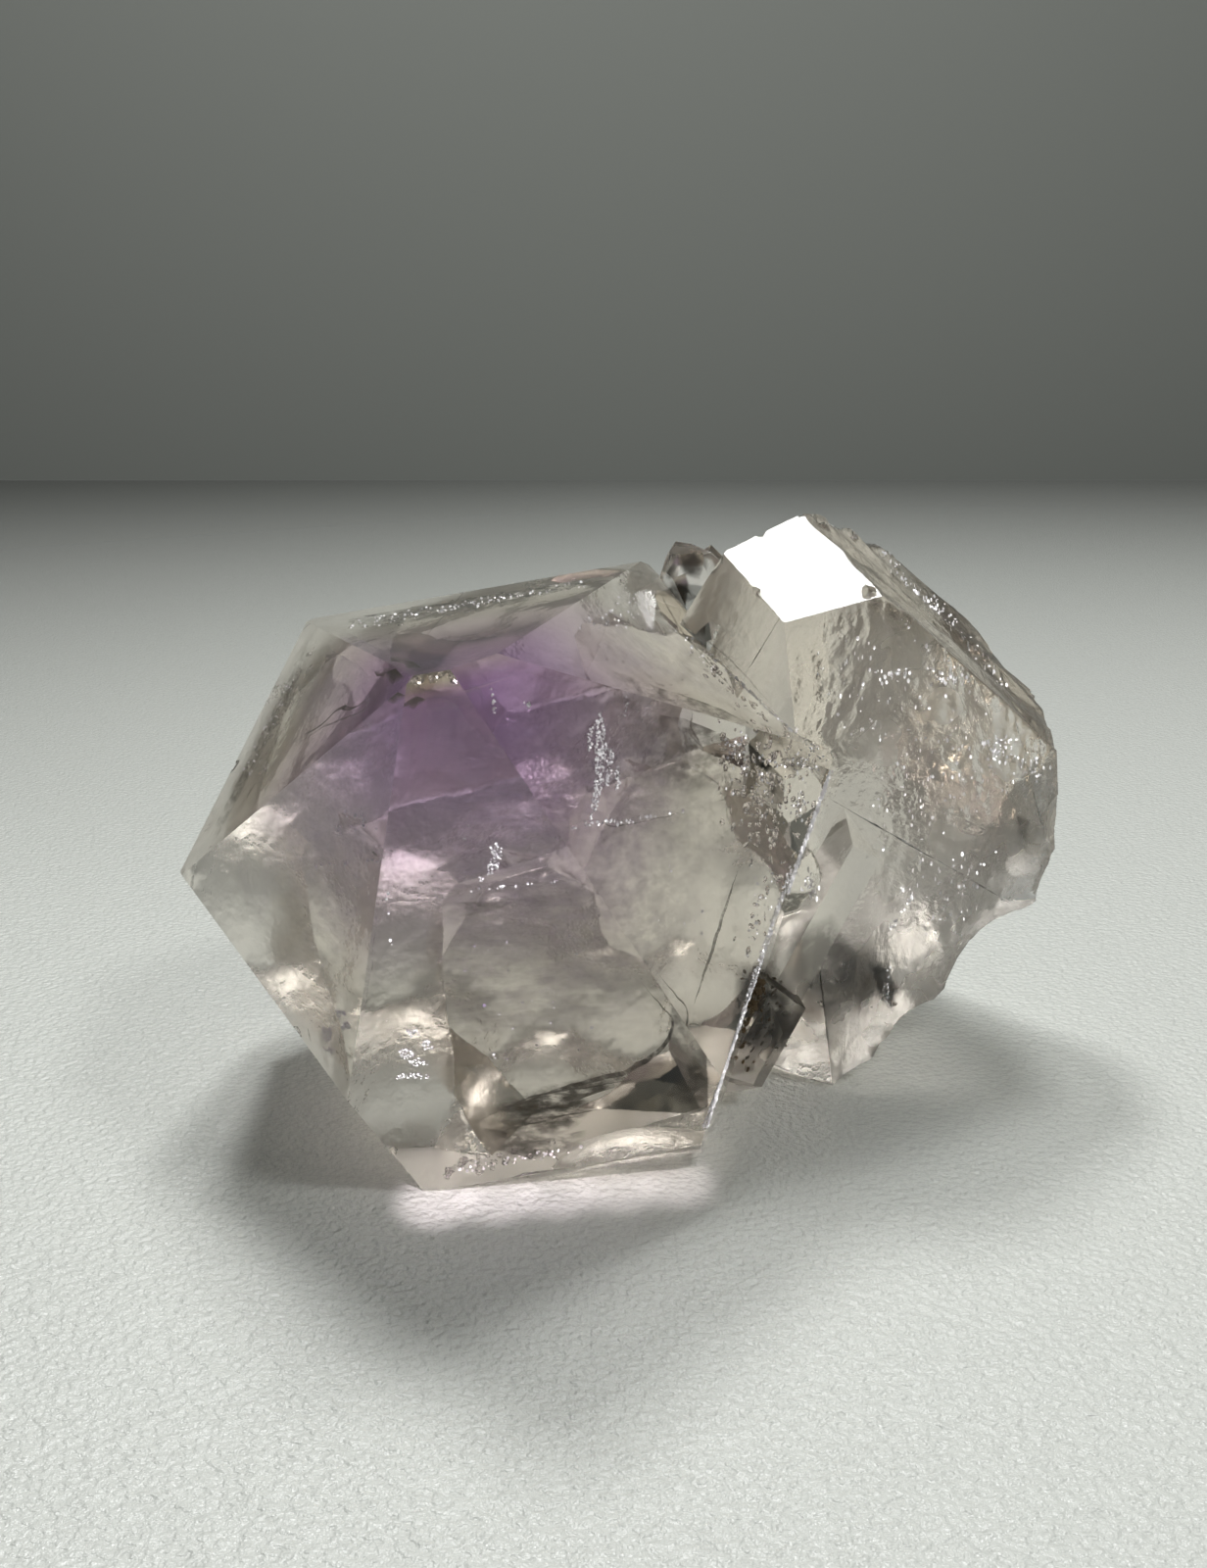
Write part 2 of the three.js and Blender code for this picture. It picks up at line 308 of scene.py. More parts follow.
def stain_and_shade_field(tree, place):
    """How strongly each place is stained or darkened by painted shade, from 0 to 1, broken up by a noise."""
    total = None
    for centre, reach, strength in STAINS_AND_SHADE:
        away = add_node(tree, "ShaderNodeVectorMath", {0: place, 1: Vector(centre) * MM},
                        operation="DISTANCE")
        near = add_node(tree, "ShaderNodeMapRange",
                        {"Value": away.outputs["Value"], "From Min": 0.0, "From Max": reach * MM,
                         "To Min": strength, "To Max": 0.0})
        if total is None:
            total = near
        else:
            total = add_node(tree, "ShaderNodeMath", {0: total, 1: near}, operation="MAXIMUM")
    noise = add_node(tree, "ShaderNodeTexNoise", {"Scale": STAIN_AND_SHADE_CELLS, "Detail": 2.0, "Vector": place})
    patches = add_node(tree, "ShaderNodeMapRange",
                       {"Value": noise, "From Min": 0.3, "From Max": 0.6, "To Min": 0.6})
    return add_node(tree, "ShaderNodeMath", {0: total, 1: patches}, operation="MULTIPLY")


def quartz_material(settings):
    """Natural quartz: glassy growth faces, frosted or glassy broken surfaces, a faint smoky body colour."""
    material, tree = new_material("Natural quartz")
    place = add_node(tree, "ShaderNodeTexCoord").outputs["Object"]
    broken, cloudy, resting, hidden = [
        add_node(tree, "ShaderNodeAttribute", attribute_name=mark).outputs["Fac"] for mark in MARKS]
    patches = add_node(tree, "ShaderNodeTexNoise", {"Scale": FROST_CELLS, "Detail": 2.0, "Vector": place})
    uneven = add_node(tree, "ShaderNodeMapRange",
                      {"Value": patches, "From Min": 0.35, "From Max": 0.6, "To Min": 0.04,
                       "To Max": settings.cloudy_roughness})
    chipped = add_node(tree, "ShaderNodeMapRange",
                       {"Value": hidden, "To Min": 0.25, "To Max": settings.broken_roughness})
    rough = add_node(tree, "ShaderNodeValue")
    rough.outputs[0].default_value = settings.face_roughness
    for mask, other in ((cloudy, uneven), (broken, chipped)):
        rough = add_node(tree, "ShaderNodeMix", {"Factor": mask, "A": rough, "B": other}, data_type="FLOAT")
    stain_and_shade = stain_and_shade_field(tree, place)
    # The worn underside and the stained places, partly painted shade, are duller than the faces
    for mask, level in ((resting, 0.4), (stain_and_shade, 0.45)):
        rough = add_node(tree, "ShaderNodeMix", {"B": level, "Factor": mask, "A": rough}, data_type="FLOAT")
    pits = add_node(tree, "ShaderNodeTexNoise", {"Scale": PIT_CELLS, "Detail": 3.0, "Vector": place})
    amount = add_node(tree, "ShaderNodeMath", {0: cloudy, 1: broken}, operation="MAXIMUM")
    strength = add_node(tree, "ShaderNodeMapRange", {"To Min": 0.015, "To Max": 0.7, "Value": amount})
    bump = add_node(tree, "ShaderNodeBump", {"Distance": 0.2 * MM, "Height": pits, "Strength": strength})
    # Brown tint: iron-stained glass, and painted shade near the crystals' junction and the grey crystal's
    # foot
    tint = add_node(tree, "ShaderNodeMix", {"A": (1, 1, 1, 1), "B": linear("#5c4a2c"), "Factor": stain_and_shade},
                    data_type="RGBA")
    shader = add_node(tree, "ShaderNodeBsdfPrincipled",
                      {"IOR": settings.ior, "Transmission Weight": 1.0, "Base Color": tint.outputs["Result"],
                       "Roughness": rough, "Normal": bump})
    absorb = add_node(tree, "ShaderNodeVolumeAbsorption",
                      {"Color": opaque(settings.body_colour), "Density": settings.body_density})
    add_node(tree, "ShaderNodeOutputMaterial", {"Surface": shader, "Volume": absorb})
    return material


class StoneSettings(PropertyGroup):
    """Sizes and colours of the stone's surface."""
    ior: FloatProperty(name="Refraction", description="Quartz's index of refraction", default=1.544)
    face_roughness: FloatProperty(name="Face roughness", description="Growth faces", default=0.04)
    broken_roughness: FloatProperty(name="Broken roughness", description="Hidden broken surfaces",
                                    default=0.5)
    cloudy_roughness: FloatProperty(name="Cloudy roughness", description="The etched face", default=0.3)
    body_colour: FloatVectorProperty(name="Body colour", description="What a long path lets through",
                                     subtype="COLOR", default=(0.86, 0.78, 0.66))
    body_density: FloatProperty(name="Body density", description="Absorption per metre", default=38.0)
    dimple: FloatProperty(name="Dimples", description="Relief of the etched face", subtype="DISTANCE",
                          default=0.4 * MM)
    relief: FloatProperty(name="Relief", description="Fine relief of broken surfaces", subtype="DISTANCE",
                          default=0.12 * MM)
    ripple: FloatProperty(name="Ripple", description="Shell-like ripples of broken surfaces",
                          subtype="DISTANCE", default=0.3 * MM)
    ripple_width: FloatProperty(name="Ripple width", description="From one ripple to the next",
                                subtype="DISTANCE", default=3.0 * MM)
    grain_width: FloatProperty(name="Grain width", description="Grain and dimples of the rough surfaces",
                               subtype="DISTANCE", default=0.8 * MM)


class SPECIMEN_OT_stone(Operator):
    """Makes the stone's finely divided surface in place of the plain solid."""
    bl_idname = "specimen.stone"
    bl_label = "Stone"

    def execute(self, context):
        settings = context.scene.stone
        values = {
            "Level": 2,
            "Rounding": 3,
            "Ripple": 1 / settings.ripple_width,
            "Ripple Depth": settings.ripple,
            "Grain": 1 / settings.grain_width,
            "Grain Depth": settings.relief,
            "Dimples": 1 / settings.grain_width,
            "Dimples Depth": settings.dimple,
            "Finish": quartz_material(settings),
        }
        stone = node_piece(marked_stone(), fracture_tree(), values, "stone")
        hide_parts(NODE)
        return {"FINISHED"}


# Places inside the stone, found by looking into it through the photo's camera

def camera_ray(pixel):
    """The direction of sight through a pixel of the photo."""
    right = (pixel[0] - PHOTO_SIZE[0] / 2) / FOCAL_PIXELS
    down = (pixel[1] - PHOTO_SIZE[1] / 2) / FOCAL_PIXELS
    tilt = Matrix.Rotation(math.pi / 2 - CAMERA_PITCH, 3, "X")
    return (tilt @ Vector((right, -down, -1))).normalized()


class Sight:
    """Sees into the stone: a line of sight bends at the surface and goes on inside."""

    def __init__(self, ior):
        stone = merged_stone()
        self.tree = BVHTree.FromBMesh(stone)
        stone.free()
        self.ior = ior

    def look(self, pixel, depth):
        """The place that lies depth below the surface where the pixel looks in, and the way it looks."""
        ray = camera_ray(pixel)
        place, normal = self.tree.ray_cast(CAMERA_PLACE, ray)[:2]
        if place is None:
            raise RuntimeError(f"pixel {pixel} misses the stone")
        slope = -ray.dot(normal)
        bend = math.sqrt(1 - (1 - slope * slope) / self.ior ** 2)
        inward = ray / self.ior + normal * (slope / self.ior - bend)
        return place + inward * (depth / bend), inward


# A sheet's thickness in mm, and where its inner ring lies between its middle and its outline
SHEET_THICKNESS = 0.03
INNER_RING = 0.55


class Sheets:
    """Gathers closed thin sheets that lie inside the stone, each behind an outline in the photo."""

    def __init__(self, sight):
        self.sight = sight
        self.vertices = []
        self.faces = []
        self.strengths = []

    def add(self, outline, depth, strength, soft):
        """A sheet behind an outline, everywhere as deep; a soft one fades out at its rim."""
        count = len(outline)
        middle = (sum(x for x, y in outline) / count, sum(y for x, y in outline) / count)
        first = len(self.vertices)
        back = first + 2 * count + 1
        for shift in (0, SHEET_THICKNESS * MM):
            for share, power in ((1.0, 0.0 if soft else strength), (INNER_RING, strength), (0.0, strength)):
                for x, y in outline if share > 0 else [middle]:
                    pixel = (middle[0] + (x - middle[0]) * share, middle[1] + (y - middle[1]) * share)
                    place, inward = self.sight.look(pixel, depth * MM)
                    self.vertices.append(place + inward * shift)
                    self.strengths.append(power)
        for i in range(count):
            j = (i + 1) % count
            for base, step in ((first, 1), (back, -1)):
                outer = (base + i, base + j, base + count + j, base + count + i)
                inner = (base + count + i, base + count + j, base + 2 * count)
                self.faces += [outer[::step], inner[::step]]
            self.faces.append((first + j, first + i, back + i, back + j))

    def built(self, name):
        """The sheets as one object, their strength stored on the points."""
        made = mesh_object(name, self.vertices, self.faces, strengths=self.strengths)
        shell = bmesh.new()
        shell.from_mesh(made.data)
        bmesh.ops.recalc_face_normals(shell, faces=shell.faces)
        shell.to_mesh(made.data)
        shell.free()
        return made


def wander(tree, start, geometry):
    """Moves points by a smooth noise, as a healed crack or a thread wanders."""
    noise = add_node(tree, "ShaderNodeTexNoise", {"Detail": 3.0, "Scale": start["Wave"]})
    centred = add_node(tree, "ShaderNodeVectorMath", {0: noise.outputs["Color"], 1: (0.5, 0.5, 0.5)},
                       operation="SUBTRACT")
    shift = add_node(tree, "ShaderNodeVectorMath", {0: centred, "Scale": start["Height"]}, operation="SCALE")
    return add_node(tree, "GeometryNodeSetPosition", {"Geometry": geometry, "Offset": shift})


def veil_tree():
    """Divides a thin plate and lets it wander gently, as a healed crack does."""
    tree, start = node_group("wandering_sheet", [
        ("Level", "Int", 4), ("Wave", "Float", 300.0), ("Height", "Float", 0.0005),
    ])
    fine = add_node(tree, "GeometryNodeSubdivideMesh", {"Mesh": start["Geometry"], "Level": start["Level"]})
    return end_group(tree, start, wander(tree, start, fine))


# The ways that a flake has to face to throw the mirror light to the camera, from the big point
# and from the grey crystal
CHIP_GLINT = Vector((0.337, -0.661, 0.669))
GLINT = Vector((0.136, -0.781, 0.609))


def flake_tree():
    """Scatters thin flakes over a sheet, most where its strength is high, about square to one way."""
    tree, start = node_group("flake_cloud", [
        ("Density", "Float", 1e6),
        ("Smallest", "Vector", (0.0001, 0.0001, 0.00002)),
        ("Largest", "Vector", (0.0003, 0.0003, 0.00004)),
        ("Facing", "Vector", tuple(GLINT)),
        ("Loose", "Float", 0.3),
        ("Spread", "Float", 0.0003),
        ("Seed", "Int", 1),
        ("Round", "Bool", False),
    ])
    strength = add_node(tree, "GeometryNodeInputNamedAttribute", {"Name": "strength"}, data_type="FLOAT")
    density = add_node(tree, "ShaderNodeMath", {0: strength, 1: start["Density"]}, operation="MULTIPLY")
    points = add_node(tree, "GeometryNodeDistributePointsOnFaces",
                      {"Mesh": start["Geometry"], "Density": density, "Seed": start["Seed"]})
    index = add_node(tree, "GeometryNodeInputIndex")
    unit_cube = {"Min": (-1, -1, -1), "Max": (1, 1, 1)}
    chance = add_node(tree, "FunctionNodeRandomValue",
                      {**unit_cube, "ID": index, "Seed": start["Seed"]}, data_type="FLOAT_VECTOR")
    away = add_node(tree, "ShaderNodeVectorMath", {0: chance, "Scale": start["Spread"]}, operation="SCALE")
    placed = add_node(tree, "GeometryNodeSetPosition", {"Geometry": points, "Offset": away})
    lean = add_node(tree, "FunctionNodeRandomValue", {**unit_cube, "Seed": 11, "ID": index},
                    data_type="FLOAT_VECTOR")
    leaning = add_node(tree, "ShaderNodeVectorMath", {0: lean, "Scale": start["Loose"]}, operation="SCALE")
    facing = add_node(tree, "ShaderNodeVectorMath", {0: start["Facing"], 1: leaning}, operation="ADD")
    turned = add_node(tree, "FunctionNodeAlignEulerToVector", {"Vector": facing}, axis="Z")
    size = add_node(tree, "FunctionNodeRandomValue", {"Seed": 5,
                    "Min": start["Smallest"], "Max": start["Largest"], "ID": index}, data_type="FLOAT_VECTOR")
    plate = add_node(tree, "GeometryNodeMeshCylinder", {"Vertices": 5, "Radius": 1.0, "Depth": 1.0})
    bubble = add_node(tree, "GeometryNodeMeshIcoSphere", {"Radius": 1.0, "Subdivisions": 1})
    flake = add_node(tree, "GeometryNodeSwitch", {"Switch": start["Round"], "False": plate, "True": bubble},
                     input_type="GEOMETRY")
    spread = add_node(tree, "GeometryNodeInstanceOnPoints",
                      {"Points": placed, "Instance": flake, "Rotation": turned, "Scale": size})
    return end_group(tree, start, spread)


def wisp_tree():
    """Turns lines into closed, flattened, wandering threads that taper at both ends."""
    tree, start = node_group("wisp", [
        ("Width", "Float", 0.0002), ("Flatness", "Float", 0.2), ("Wave", "Float", 400.0),
        ("Height", "Float", 0.0004), ("Steps", "Int", 60),
    ])
    curve = add_node(tree, "GeometryNodeMeshToCurve", {"Mesh": start["Geometry"]})
    spline = add_node(tree, "GeometryNodeCurveSplineType", {"Curve": curve}, spline_type="CATMULL_ROM")
    steps = add_node(tree, "GeometryNodeResampleCurve", {"Curve": spline, "Count": start["Steps"]})
    moved = wander(tree, start, steps)
    along = add_node(tree, "GeometryNodeSplineParameter")
    bow = add_node(tree, "ShaderNodeMath", {0: along.outputs["Factor"], 1: math.pi}, operation="MULTIPLY")
    taper = add_node(tree, "ShaderNodeMath", {0: bow}, operation="SINE")
    width = add_node(tree, "GeometryNodeInputNamedAttribute", {"Name": "strength"}, data_type="FLOAT")
    scaled = add_node(tree, "ShaderNodeMath", {0: taper, 1: width}, operation="MULTIPLY")
    radius = add_node(tree, "ShaderNodeMath", {0: scaled, 1: start["Width"], 2: 1e-6},
                      operation="MULTIPLY_ADD")
    profile = add_node(tree, "GeometryNodeCurvePrimitiveCircle", {"Resolution": 6, "Radius": 1.0})
    flat = add_node(tree, "ShaderNodeCombineXYZ", {"X": 1.0, "Z": 1.0, "Y": start["Flatness"]})
    squeezed = add_node(tree, "GeometryNodeTransform", {"Geometry": profile, "Scale": flat})
    tube = add_node(tree, "GeometryNodeCurveToMesh", {"Fill Caps": True,
                    "Curve": moved, "Profile Curve": squeezed, "Scale": radius})
    return end_group(tree, start, tube)


def threads(name, sight, lines):
    """Open lines inside the stone as loose edges; a line holds its pixels, depth in mm and strength."""
    vertices, edges, strengths = [], [], []
    for pixels, depth, strength in lines:
        first = len(vertices)
        for pixel in pixels:
            vertices.append(sight.look(pixel, depth * MM)[0])
            strengths.append(strength)
        edges += [(first + i, first + i + 1) for i in range(len(pixels) - 1)]
    return mesh_object(name, vertices, edges=edges, strengths=strengths)


def sheet_material(name, colour, cover, grain, shows=(0.4, 0.65), roughness=0.8, stretch=(1, 1, 1)):
    """A thin film in the stone: covers by its strength and a noise, clear between the grains.

    The grain is in mm, and shows is the range of the noise over which the film comes up.
    """
    material, tree = new_material(name)
    place = add_node(tree, "ShaderNodeTexCoord").outputs["Object"]
    drawn = add_node(tree, "ShaderNodeVectorMath", {0: place, 1: stretch}, operation="MULTIPLY")
    noise = add_node(tree, "ShaderNodeTexNoise", {"Scale": 1 / (grain * MM), "Detail": 3.5, "Roughness": 0.65,
                      "Vector": drawn})
    strength = add_node(tree, "ShaderNodeAttribute", attribute_name="strength").outputs["Fac"]
    patches = add_node(tree, "ShaderNodeMapRange",
                       {"From Min": shows[0], "From Max": shows[1], "Value": noise})
    shown = add_node(tree, "ShaderNodeMath", {0: patches, 1: strength}, operation="MULTIPLY")
    alpha = add_node(tree, "ShaderNodeMath", {0: shown, 1: cover}, operation="MULTIPLY")
    shader = add_node(tree, "ShaderNodeBsdfPrincipled", {"Base Color": linear(colour), "Roughness": roughness,
                       "Alpha": alpha})
    add_node(tree, "ShaderNodeOutputMaterial", {"Surface": shader})
    return material


# Outlines of inclusions, in pixels of the photo, with their depth below the surface in mm

HAZE = (
    ([(228, 872), (285, 868), (290, 905), (262, 955)], 1.5, 1.0),
    ([(352, 643), (392, 668), (396, 692), (345, 727), (298, 748), (286, 722)], 2.0, 0.9),
    ([(580, 626), (630, 592), (682, 636), (748, 698), (772, 730), (680, 698), (606, 678)], 2.0, 1.0),
    ([(412, 700), (472, 694), (512, 765), (500, 812), (418, 785)], 4.0, 0.7),
    ([(305, 842), (350, 822), (388, 812), (390, 874), (306, 882)], 1.5, 0.9),
    ([(440, 955), (530, 940), (592, 905), (625, 945), (676, 1020), (690, 1060), (655, 1100), (530, 1128),
      (462, 1060)], 4.0, 0.6),
    ([(585, 862), (630, 836), (712, 834), (748, 868), (732, 945), (682, 1020), (618, 905)], 3.5, 0.6),
)
STREAKS = (
    ([(262, 868), (322, 690), (400, 640), (398, 690), (384, 860), (372, 1020), (350, 1080),
      (300, 990)], 2.5, 0.8),
    ([(405, 700), (560, 640), (650, 690), (770, 740), (740, 880), (690, 1060), (560, 1120), (400, 1120),
      (392, 900)], 2.5, 0.7),
    ([(410, 740), (540, 700), (700, 760), (720, 900), (640, 1080), (440, 1100)], 5.5, 0.8),
)
FEATHERS = (
    ([(846, 786), (850, 786), (805, 912), (801, 910)], 0.0, 2.0),
    ([(807, 880), (811, 880), (765, 1020), (761, 1018)], 0.0, 2.0),
    ([(770, 990), (774, 990), (721, 1154), (717, 1152)], 0.0, 2.0),
    ([(306, 884), (350, 879), (389, 876), (388, 879), (350, 882), (308, 887)], 0.0, 0.5),
    ([(332, 842), (352, 826), (384, 822), (388, 850), (360, 846), (334, 862)], 0.0, 0.12),
    ([(457, 912), (520, 902), (596, 895), (594, 897), (520, 904), (460, 914)], 0.0, 0.35),
    ([(575, 845), (607, 835), (632, 840), (703, 826), (702, 828), (630, 843), (606, 838),
      (577, 847)], 0.0, 0.5),
    ([(500, 702), (503, 700), (507, 728), (504, 730)], 0.0, 0.8),
    ([(529, 702), (546, 722), (543, 728), (530, 710)], 0.0, 0.4),
    ([(638, 708), (641, 706), (640, 734), (637, 732)], 0.0, 0.8),
    ([(503, 1074), (506, 1073), (508, 1088), (505, 1088)], 0.0, 0.6),
    ([(392, 878), (394, 878), (403, 1000), (400, 1000)], 0.0, 0.1),
    ([(590, 640), (640, 598), (668, 622), (640, 640), (600, 655)], 0.0, 0.06),
)
SPARKS = (
    ([(704, 652), (709, 650), (845, 776), (840, 779)], 0.0, 0.8),
    ([(735, 752), (765, 745), (770, 772), (742, 775)], 0.0, 0.5),
    ([(800, 770), (822, 762), (836, 786), (812, 790)], 0.0, 0.7),
    ([(812, 806), (828, 812), (820, 838), (806, 832)], 0.0, 0.8),
    ([(722, 742), (790, 735), (835, 790), (812, 858), (760, 850), (735, 800)], 0.0, 0.14),
    ([(680, 640), (700, 640), (752, 704), (742, 708)], 0.0, 0.18),
    ([(770, 890), (798, 880), (782, 950), (764, 985), (756, 960)], 0.0, 0.22),
    ([(440, 1196), (500, 1180), (598, 1168), (594, 1176), (500, 1192), (446, 1204)], 0.0, 0.5),
    ([(350, 634), (480, 612), (600, 592), (604, 598), (480, 620), (360, 644)], 0.0, 0.2),
    ([(245, 790), (296, 690), (312, 668), (300, 700), (256, 796)], 0.0, 0.15),
    ([(470, 850), (486, 822), (492, 836), (476, 862)], 0.0, 0.08),
    ([(470, 960), (590, 950), (640, 1060), (560, 1110), (480, 1060)], 0.0, 0.02),
    ([(640, 860), (720, 850), (730, 940), (680, 1000)], 0.0, 0.02),
)
SMOKE = (
    ([(470, 1132), (540, 1112), (610, 1094), (655, 1094), (640, 1106), (600, 1118), (610, 1128), (590, 1150),
      (560, 1165), (500, 1160)], 2.0, 1.0),
    ([(490, 1150), (560, 1160), (600, 1152), (596, 1172), (540, 1184), (492, 1180)], 0.8, 1.0),
    ([(709, 1071), (729, 1101), (719, 1139), (676, 1122)], 0.8, 1.0),
    ([(396, 668), (412, 668), (412, 692), (400, 700)], 1.5, 0.9),
    ([(690, 590), (720, 612), (700, 616), (664, 606)], 1.0, 0.8),
    ([(455, 920), (520, 918), (590, 908), (560, 925), (500, 932), (458, 938)], 2.5, 0.5),
    ([(620, 700), (700, 712), (770, 740), (760, 800), (700, 815), (640, 800)], 3.5, 0.5),
    ([(345, 632), (480, 610), (600, 590), (650, 580), (640, 592), (520, 618), (380, 642)], 0.6, 0.6),
    ([(210, 860), (260, 760), (310, 660), (322, 640), (318, 668), (262, 780), (216, 866)], 0.7, 0.5),
)
# Brown patches: iron-stained cracks, and partly painted shade at the crystals' junction and the grey
# crystal's lower corner
BROWN_AND_SHADE = (
    ([(752, 985), (788, 975), (812, 1010), (808, 1062), (784, 1078), (756, 1076), (744, 1040)], 0.5, 1.0),
    ([(806, 935), (850, 930), (880, 975), (862, 1040), (820, 1060), (806, 1000)], 0.8, 0.5),
    ([(884, 975), (905, 980), (920, 1010), (912, 1034), (896, 1020)], 0.5, 0.9),
    ([(850, 955), (890, 960), (912, 1000), (896, 1032), (866, 1044), (848, 1000)], 0.8, 0.6),
    ([(694, 562), (712, 560), (724, 576), (714, 592), (696, 588), (690, 574)], 0.25, 0.8),
    ([(1036, 828), (1052, 836), (1050, 862), (1038, 852)], 0.5, 0.5),
)
WISPS = (
    ([(655, 1001), (673, 1025), (687, 1043), (678, 1067), (641, 1092), (571, 1112), (518, 1131)], 2.5, 1.0),
    ([(754, 887), (738, 935), (722, 985), (707, 1029)], 2.0, 0.7),
    ([(305, 752), (330, 738), (345, 724), (362, 722), (382, 708)], 1.2, 1.0),
    ([(300, 762), (325, 745), (352, 733), (378, 722)], 1.3, 0.6),
    ([(482, 1148), (540, 1120), (610, 1108), (660, 1098)], 2.2, 0.8),
    ([(500, 1158), (560, 1142), (620, 1130)], 1.8, 0.7),
    ([(457, 912), (525, 903), (598, 897)], 0.9, 0.35),
    ([(304, 887), (350, 880), (391, 877)], 0.9, 0.3),
    ([(380, 868), (391, 878)], 0.9, 0.5),
    ([(572, 846), (607, 836), (631, 843), (703, 827)], 0.9, 0.4),
    ([(700, 1085), (712, 1100), (706, 1122)], 0.7, 0.5),
    ([(690, 1110), (705, 1095), (716, 1118)], 0.7, 0.4),
    ([(313, 1048), (315, 1056), (317, 1063)], 0.4, 0.5),
    ([(690, 612), (730, 660), (790, 722)], 0.9, 0.5),
    ([(672, 600), (696, 644), (748, 704)], 0.8, 0.5),
)
BUBBLE_PATCHES = (
    ([(722, 742), (760, 735), (832, 775), (828, 842), (782, 848), (735, 790)], 0.8, 1.0),
    ([(740, 800), (790, 820), (820, 850), (806, 900), (760, 880), (730, 830)], 1.5, 0.7),
    ([(690, 640), (742, 690), (812, 752), (788, 748), (722, 690)], 0.7, 0.7),
    ([(350, 632), (480, 610), (635, 582), (640, 592), (480, 626), (364, 644)], 0.6, 0.7),
    ([(436, 1192), (500, 1172), (598, 1162), (592, 1176), (500, 1190), (446, 1204)], 0.4, 1.0),
    ([(770, 890), (800, 880), (780, 960), (756, 1000), (752, 960)], 0.8, 0.5),
    ([(250, 785), (304, 674), (322, 656), (316, 694), (268, 796)], 0.6, 0.5),
)
GLITTER = (
    ([(892, 684), (932, 680), (934, 690), (896, 694)], 0.0, 1.0),
    ([(944, 678), (988, 690), (990, 702), (950, 698)], 0.0, 0.9),
    ([(886, 734), (898, 728), (898, 742), (888, 746)], 0.0, 0.9),
    ([(1000, 756), (1022, 746), (1040, 752), (1036, 772), (1006, 784)], 0.0, 0.8),
    ([(1030, 770), (1058, 766), (1074, 784), (1060, 798), (1034, 790)], 0.0, 0.5),
    ([(826, 660), (880, 640), (930, 690), (900, 760), (850, 760)], 0.0, 0.07),
    ([(900, 700), (1000, 700), (1040, 800), (960, 860), (880, 820)], 0.0, 0.08),
    ([(870, 800), (960, 800), (1000, 880), (940, 930), (880, 880)], 0.0, 0.05),
    ([(940, 896), (946, 894), (908, 952), (902, 956)], 0.0, 0.9),
    ([(900, 1010), (905, 985), (908, 984), (904, 1020), (912, 1034), (908, 1036)], 0.0, 0.9),
    ([(960, 880), (1020, 860), (1000, 940), (950, 980), (930, 950)], 0.0, 0.1),
    ([(812, 890), (824, 884), (842, 912), (838, 922), (816, 908)], 0.0, 0.7),
    ([(900, 560), (960, 610), (1030, 700), (1024, 704), (950, 620), (896, 572)], 0.0, 0.12),
    ([(890, 588), (930, 640), (1010, 712), (1060, 756), (1056, 762), (1000, 716), (920, 644)], 0.0, 0.14),
)
# Rusty bits, partly painted shade at the crystals' junction and the grey crystal's lower corner
CRUST_AND_SHADE = (
    ([(758, 992), (782, 985), (800, 1010), (806, 1060), (790, 1082), (762, 1074), (752, 1040)], 0.4, 1.0),
    ([(750, 1080), (775, 1082), (794, 1088), (770, 1092)], 0.25, 0.8),
    ([(888, 975), (905, 985), (918, 1010), (912, 1032), (898, 1018), (890, 998)], 0.4, 0.7),
    ([(892, 1038), (902, 1030), (906, 1040), (898, 1048)], 0.3, 0.5),
    ([(694, 558), (704, 556), (706, 566), (698, 570)], 0.2, 0.5),
)
CHIPS = (
    [(607, 738), (613, 726), (619, 760), (615, 800), (606, 834), (602, 836), (608, 790)],
    [(620, 762), (626, 768), (625, 792), (618, 806)],
    [(627, 785), (631, 782), (633, 804), (629, 806)],
    [(601, 742), (605, 740), (604, 764), (600, 766)],
    [(507, 860), (512, 866), (511, 878), (505, 891), (498, 892), (497, 882), (503, 876), (505, 868),
     (500, 864)],
    [(489, 895), (493, 896), (491, 902)],
    [(415, 1052), (424, 1050), (428, 1056), (420, 1059)],
    [(430, 1062), (440, 1061), (441, 1070), (433, 1071)],
    [(408, 1072), (416, 1070), (437, 1086), (424, 1087), (410, 1079)],
    [(403, 1097), (414, 1095), (437, 1096), (438, 1100), (405, 1100)],
    [(343, 1031), (353, 1032), (352, 1037), (344, 1037)],
    [(349, 1043), (357, 1044), (357, 1050), (350, 1051)],
    [(329, 1048), (338, 1050), (338, 1063), (330, 1062)],
    [(330, 1069), (340, 1069), (342, 1074), (334, 1074)],
)


class InclusionSettings(PropertyGroup):
    """What lies inside the stone: veils, feathers, chips, smoke, wisps and bubbles."""
    haze_cover: FloatProperty(name="Haze", description="Most that a veil covers", default=0.22)
    silk_cover: FloatProperty(name="Silk", description="Most that a silky veil covers", default=0.28)
    smoke_cover: FloatProperty(name="Smoke", description="Most that smoke covers", default=0.7)
    # Brown patches, partly painted shade at the crystals' junction and the grey crystal's lower corner
    rust_and_shade_cover: FloatProperty(name="Rust", description="Most that a rust-brown patch covers", default=0.85)
    wisp_cover: FloatProperty(name="Wisps", description="Most that a smoky thread covers", default=0.75)
    wisp_width: FloatProperty(name="Wisp width", description="Half width of a smoky thread",
                              subtype="DISTANCE", default=0.22 * MM)
    flake_density: FloatProperty(name="Flakes", description="Flakes per square metre", default=3.0e6)
    seed: IntProperty(name="Seed", description="Fixes the scatter", default=7)


